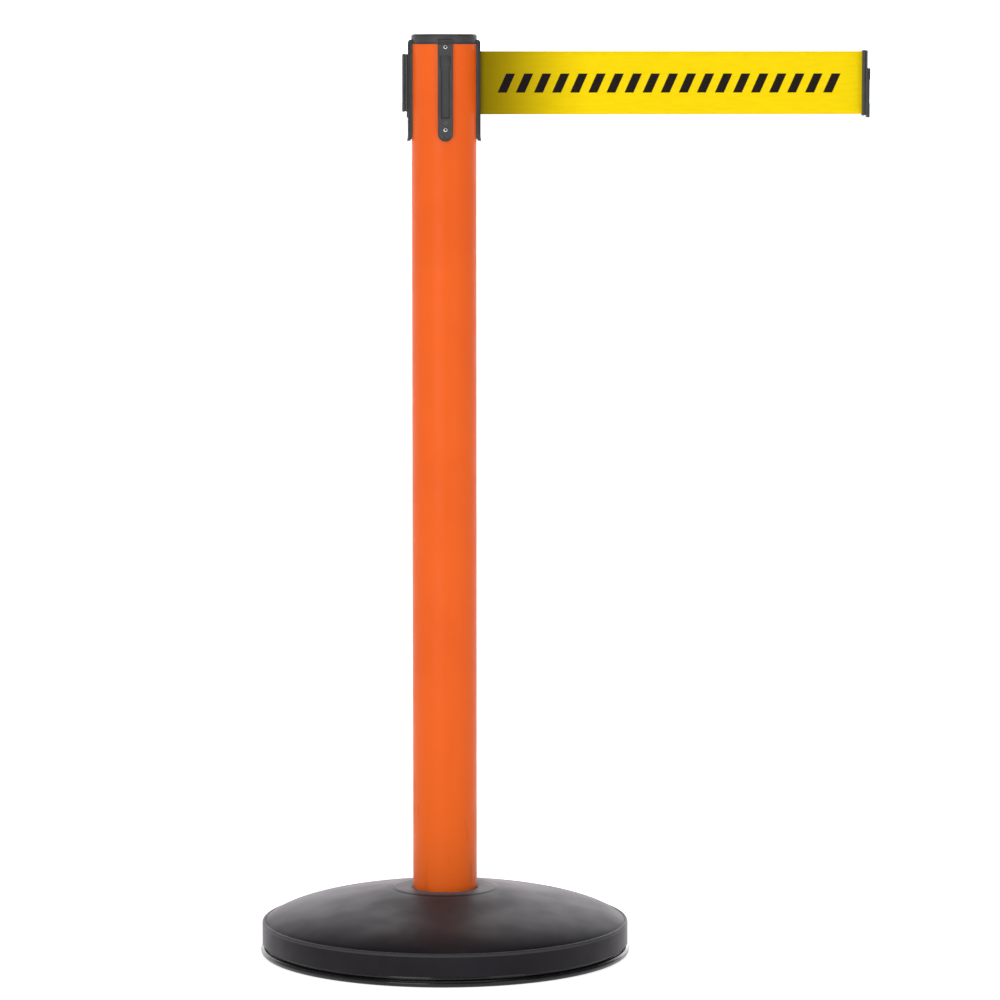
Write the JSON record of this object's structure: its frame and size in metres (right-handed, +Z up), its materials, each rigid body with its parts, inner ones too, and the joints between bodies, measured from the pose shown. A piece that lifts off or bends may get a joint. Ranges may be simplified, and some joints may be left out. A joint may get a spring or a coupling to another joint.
{
  "type": "retractable belt barrier post",
  "caption": "Free-standing barrier post: weighted dome base with rubber edge, tube, capped head with belt receivers, and a wide belt that pulls out and winds back in.",
  "frame": {"origin": "on the floor, at the post's axis", "axes": "+Z up the post; +X the way the belt leaves the head; -Y the front, where a free receiver faces"},
  "size_m": [0.6027, 0.367, 0.91],
  "materials": {
    "orange_paint": "powder coat, semi-gloss",
    "head_plastic": "fine moulded texture",
    "clip_plastic": "fine moulded texture",
    "cover_plastic": "grained moulded plastic",
    "cassette_plastic": "moulded",
    "acetal": "moulded",
    "rubber": "moulded, slight sheen",
    "cast_iron": "as cast",
    "zinc_steel": "zinc plated",
    "screw_steel": "bright plated",
    "spring_steel": "blued",
    "webbing": "printed woven polyester"
  },
  "bodies": {
    "post": {"floor_mat": "rubber", "base_weight": "cast_iron", "base_cover": "cover_plastic", "base_bolt": "zinc_steel", "spring_washer": "zinc_steel", "base_washer": "zinc_steel", "tube_foot_plug": "zinc_steel", "post_tube": "orange_paint", "top_cap": "head_plastic", "receiver_front": "head_plastic", "receiver_back": "head_plastic", "receiver_left": "head_plastic", "belt_mouth": "head_plastic", "cassette_frame": "cassette_plastic", "cassette_lid": "cassette_plastic", "spring_cover": "cassette_plastic", "guide_pin_front": "zinc_steel", "guide_pin_back": "zinc_steel", "spool_axle": "zinc_steel", "axle_circlip": "spring_steel", "power_spring": "spring_steel", "screw_front_bottom": "screw_steel", "screw_front_top": "screw_steel", "screw_back_bottom": "screw_steel", "screw_back_top": "screw_steel", "screw_left_bottom": "screw_steel", "screw_left_top": "screw_steel", "screw_right_bottom": "screw_steel", "screw_right_top": "screw_steel"},
    "spool": {"spool": "acetal", "belt_coil": "webbing"},
    "belt": {"belt_webbing": "webbing", "belt_end_clip": "clip_plastic", "belt_end_clip_pin": "zinc_steel"},
    "docked_clip": {"docked_clip": "clip_plastic", "docked_clip_pin": "zinc_steel"}
  },
  "joints": [
    {"name": "belt_pull", "type": "slide", "parent": "post", "child": "belt", "axis": [1, 0, 0], "range_m": [-0.3748, 1.9], "deforming": ["belt_webbing"]},
    {"name": "spool_spin", "type": "hinge", "parent": "post", "child": "spool", "pos_m": [0, 0, 0.86235], "axis": [0, 0, 1], "range_deg": [-1412, 7140]},
    {"name": "docked_clip_lift", "type": "slide", "parent": "post", "child": "docked_clip", "axis": [0, 0, 1], "range_m": [0, 0.012]}
  ],
  "couplings": [
    {"joint": "spool_spin", "follows": "belt_pull", "rad_per_m": 65.49}
  ]
}
